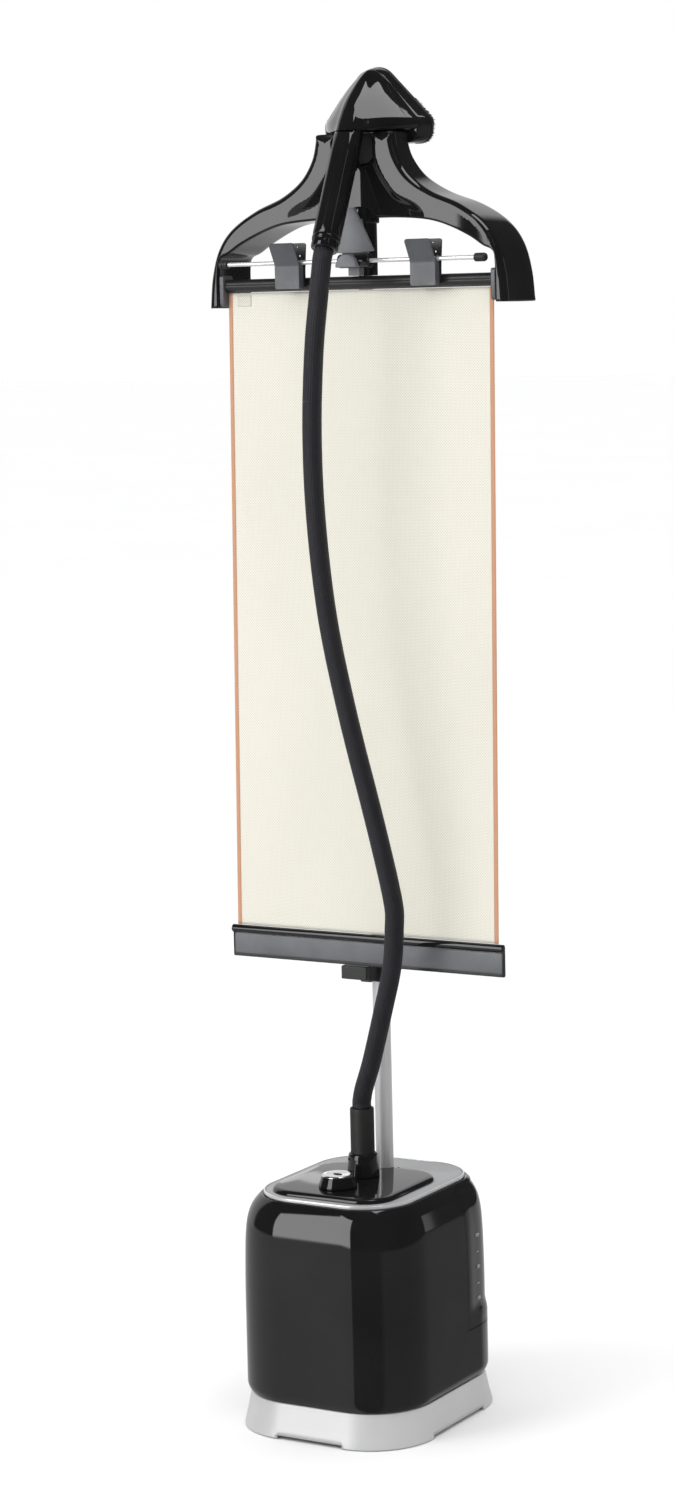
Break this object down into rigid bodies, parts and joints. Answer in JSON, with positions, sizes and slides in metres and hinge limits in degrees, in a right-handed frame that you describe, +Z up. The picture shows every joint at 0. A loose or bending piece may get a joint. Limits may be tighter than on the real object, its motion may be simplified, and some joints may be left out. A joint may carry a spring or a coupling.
{
  "type": "garment steamer",
  "caption": "Upright garment steamer: rounded base with water tank and dial, telescopic pole, bell-shaped hanger with trouser bar and clips, roll-down press screen, steam head and hose.",
  "frame": {"origin": "on the floor, under the middle of the base and of the hanger's depth range", "axes": "+Z up, -Y towards the front where the user stands, +X towards the user's right"},
  "size_m": [0.425, 0.3076, 1.7007],
  "materials": {
    "gloss_black": "polished moulded plastic",
    "satin_black": "satin moulded plastic",
    "grey_plastic": "dark grey satin moulded plastic",
    "deck_grey": "grey satin moulded plastic",
    "silver_paint": "silver painted plastic",
    "chrome": "bright plated",
    "aluminium": "satin anodised",
    "steel": "fine brushed",
    "rubber": "matte",
    "smoked": "dark smoked translucent plastic, modelled opaque",
    "cloth": "cream heat-resistant woven cloth",
    "sleeve": "black braided sleeve over a rubber hose",
    "copper": "drawn copper tube",
    "board": "coated circuit board",
    "white_nylon": "white nylon"
  },
  "bodies": {
    "base": {"skirt": "silver_paint", "base_tray": "satin_black", "foot_front_left": "rubber", "foot_front_right": "rubber", "foot_back_left": "rubber", "foot_back_right": "rubber", "housing": "gloss_black", "tank_shelf": "satin_black", "deck": "deck_grey", "trim_line": "chrome", "platform": "gloss_black", "hose_socket": "gloss_black", "hose_cuff": "rubber", "pole_socket": "satin_black", "boiler": "aluminium", "pump": "white_nylon", "control_board": "board", "steam_pipe": "copper", "cord_gland": "rubber", "lower_tube": "aluminium", "lower_collar": "satin_black", "rail_holder": "satin_black", "hose_lower": "sleeve"},
    "knob": {"knob": "gloss_black", "knob_cap": "chrome"},
    "water_tank": {"water_tank": "smoked", "tank_cap": "satin_black"},
    "lower_lever": {"lower_lever": "gloss_black"},
    "mast_middle": {"middle_tube": "aluminium", "upper_collar": "satin_black"},
    "upper_lever": {"upper_lever": "gloss_black"},
    "mast_top": {"upper_tube": "aluminium", "pole_head": "satin_black", "hanger_shell": "gloss_black", "hanger_front_panel": "gloss_black", "centre_bracket": "grey_plastic", "trouser_bar": "chrome", "bar_fitting": "satin_black", "bar_end_cap": "rubber", "cassette": "satin_black", "cassette_end_left": "grey_plastic", "cassette_end_right": "grey_plastic", "screen": "cloth", "hose_upper": "sleeve"},
    "roller": {"roller": "aluminium"},
    "screen_rail": {"rail_bead": "satin_black", "rail_plate": "grey_plastic", "rail_cap_left": "satin_black", "rail_cap_right": "satin_black"},
    "clip_left": {"clip_left_rear_jaw": "satin_black", "clip_left_spring": "steel"},
    "clip_left_jaw": {"clip_left_front_jaw": "grey_plastic"},
    "clip_right": {"clip_right_rear_jaw": "satin_black", "clip_right_spring": "steel"},
    "clip_right_jaw": {"clip_right_front_jaw": "grey_plastic"},
    "steam_head": {"head_shell": "gloss_black", "brush_rim": "rubber", "soleplate": "steel", "handle": "gloss_black", "handle_collar": "gloss_black"}
  },
  "joints": [
    {"name": "pole_height", "type": "slide", "parent": "base", "child": "mast_top", "axis": [0, 0, 1], "range_m": [-0.42, 0], "deforming": ["hose_lower"]},
    {"name": "middle_height", "type": "slide", "parent": "base", "child": "mast_middle", "axis": [0, 0, 1], "range_m": [-0.22, 0]},
    {"name": "screen_roll", "type": "slide", "parent": "mast_top", "child": "screen_rail", "axis": [0, 0.0223, 0.9998], "range_m": [0, 0.76], "deforming": ["screen"]},
    {"name": "roller_turn", "type": "hinge", "parent": "mast_top", "child": "roller", "pos_m": [0, 0.035, 1.4342], "axis": [1, 0, 0], "range_deg": [0, 7220]},
    {"name": "head_lift", "type": "slide", "parent": "mast_top", "child": "steam_head", "axis": [0, 0, 1], "range_m": [0, 0.08], "deforming": ["hose_upper"]},
    {"name": "knob_turn", "type": "hinge", "parent": "base", "child": "knob", "pos_m": [0, -0.067, 0.31], "axis": [0, 0, 1], "range_deg": [-150, 0]},
    {"name": "tank_slide", "type": "slide", "parent": "base", "child": "water_tank", "axis": [0, 1, 0], "range_m": [0, 0.12]},
    {"name": "lower_lever_turn", "type": "hinge", "parent": "base", "child": "lower_lever", "pos_m": [0.0178, 0.0455, 0.891], "axis": [0, 0, 1], "range_deg": [-75, 0]},
    {"name": "upper_lever_turn", "type": "hinge", "parent": "mast_middle", "child": "upper_lever", "pos_m": [0.0168, 0.0455, 1.1976], "axis": [0, 0, 1], "range_deg": [-75, 0]},
    {"name": "clip_left_slide", "type": "slide", "parent": "mast_top", "child": "clip_left", "axis": [1, 0, 0], "range_m": [-0.035, 0.035]},
    {"name": "clip_left_squeeze", "type": "hinge", "parent": "clip_left", "child": "clip_left_jaw", "pos_m": [-0.0886, 0.018, 1.461], "axis": [1, 0, 0], "range_deg": [-18, 0], "stiffness_Nm_per_rad": 0.06, "springref_deg": 14.32},
    {"name": "clip_right_slide", "type": "slide", "parent": "mast_top", "child": "clip_right", "axis": [1, 0, 0], "range_m": [-0.052, 0.022]},
    {"name": "clip_right_squeeze", "type": "hinge", "parent": "clip_right", "child": "clip_right_jaw", "pos_m": [0.1048, 0.018, 1.461], "axis": [1, 0, 0], "range_deg": [-18, 0], "stiffness_Nm_per_rad": 0.06, "springref_deg": 14.32}
  ],
  "couplings": [
    {"joint": "middle_height", "follows": "pole_height", "ratio": 0.5238},
    {"joint": "screen_roll", "follows": "pole_height", "ratio": -1.8095},
    {"joint": "roller_turn", "follows": "pole_height", "rad_per_m": -300}
  ]
}
